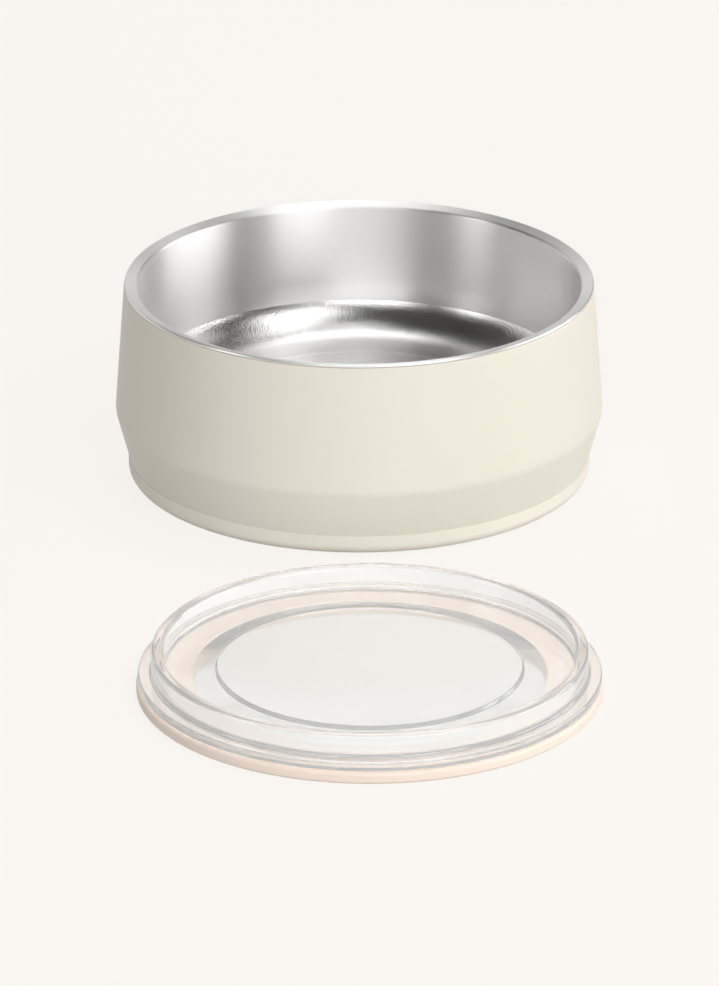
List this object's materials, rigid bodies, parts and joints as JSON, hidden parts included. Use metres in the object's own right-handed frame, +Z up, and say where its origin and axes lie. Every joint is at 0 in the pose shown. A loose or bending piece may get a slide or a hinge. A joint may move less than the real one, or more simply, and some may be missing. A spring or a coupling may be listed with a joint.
{
  "type": "cat food bowl with lid",
  "caption": "Low round double-wall steel pet bowl with a coated shell and silicone base, and a clear press-in lid with a soft gasket lying in front of it.",
  "frame": {"origin": "middle of the silicone boot's underside, on the surface the bowl stands on", "axes": "+Z up along the bowl's axis, -Y towards the lid, +X to the right seen from the lid's side"},
  "size_m": [0.1444, 0.3024, 0.0595],
  "materials": {
    "satin_steel": "satin, drawn",
    "cream_coat": "fine powder coat, eggshell",
    "plain_steel": "plain sheet",
    "cream_silicone": "matt silicone",
    "peach_silicone": "matt silicone",
    "clear_plastic": "clear, polished"
  },
  "bodies": {
    "bowl": {"inner_bowl": "satin_steel", "outer_shell": "cream_coat", "base_plate": "plain_steel", "base_boot": "cream_silicone"},
    "gasket": {"lid_gasket": "peach_silicone"},
    "lid": {"lid_body": "clear_plastic"}
  },
  "joints": [
    {"name": "lid_lift", "type": "slide", "parent": "bowl", "child": "gasket", "axis": [0, 0, 1], "range_m": [0, 0.12]},
    {"name": "lid_off_gasket", "type": "slide", "parent": "gasket", "child": "lid", "axis": [0, 0, 1], "range_m": [0, 0.03]}
  ]
}
